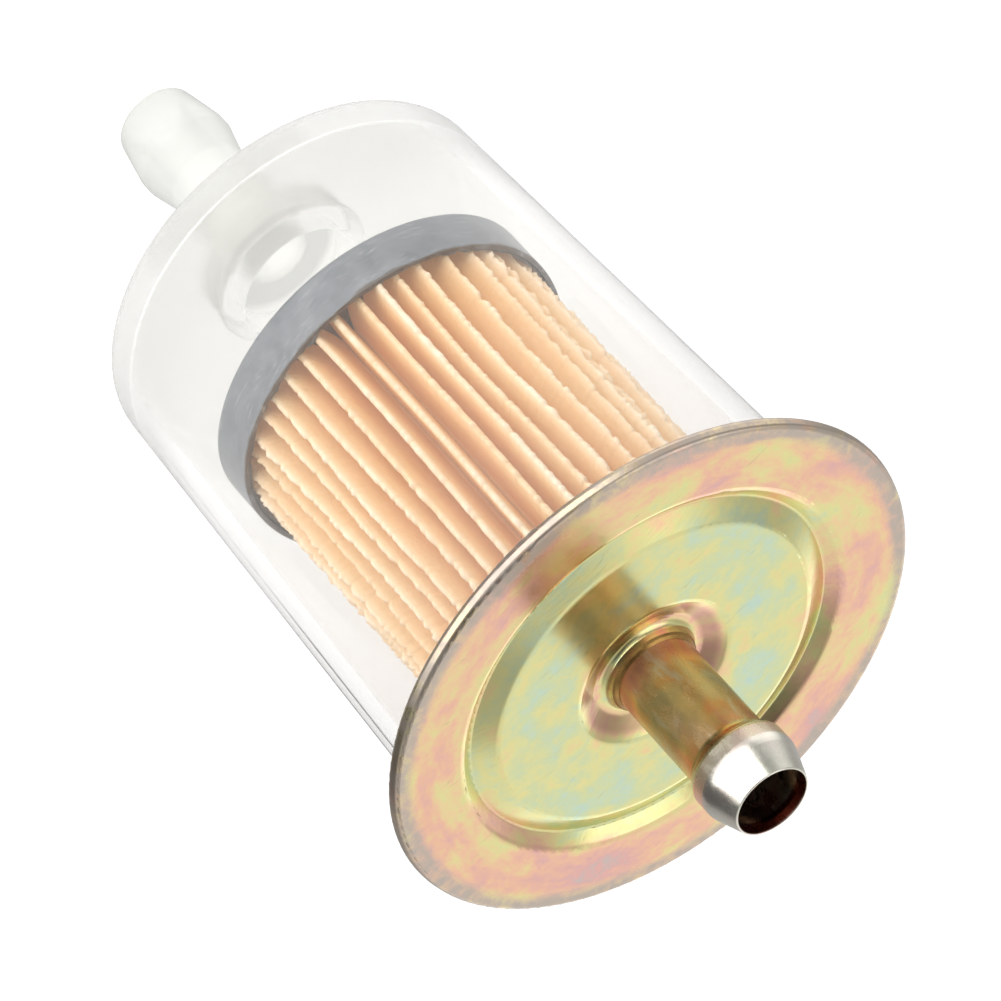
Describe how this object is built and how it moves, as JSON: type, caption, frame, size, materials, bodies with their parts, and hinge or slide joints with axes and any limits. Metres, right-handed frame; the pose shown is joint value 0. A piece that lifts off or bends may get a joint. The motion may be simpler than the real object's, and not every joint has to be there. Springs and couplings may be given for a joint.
{
  "type": "in-line fuel filter",
  "caption": "Clear tapered bowl with a hose nipple, a pleated paper element inside, and a plated steel end plate rolled over its rim and carrying a ridged steel hose nipple.",
  "frame": {"origin": "middle of the inlet nipple's open end, on the filter's axis", "axes": "+Z along the filter's axis, from the moulded inlet nipple to the steel outlet nipple; X and Y are equivalent"},
  "size_m": [0.054, 0.054, 0.1011],
  "materials": {
    "clear_plastic": "clear, smooth, faint moulding haze",
    "plate_steel": "yellow passivated zinc plate, iridescent, worn grey near the rim",
    "tube_steel": "amber passivated zinc plate, scuffed, bright at the nose",
    "cap_steel": "dull grey, fine scratches",
    "core_steel": "plain tinned steel",
    "filter_paper": "resin-treated filter paper, matte",
    "glue": "cured potting adhesive",
    "rubber": "matte nitrile",
    "braze": "plated braze fillet"
  },
  "bodies": {
    "root": {"bowl": "clear_plastic", "end_plate": "plate_steel", "outlet_tube": "tube_steel", "braze_ring": "braze", "rim_seal": "rubber", "closed_end_cap": "cap_steel", "open_end_cap": "cap_steel", "closed_end_glue": "glue", "open_end_glue": "glue", "pleated_media": "filter_paper", "seam_glue": "glue", "centre_tube": "core_steel", "element_grommet": "rubber"}
  },
  "joints": []
}
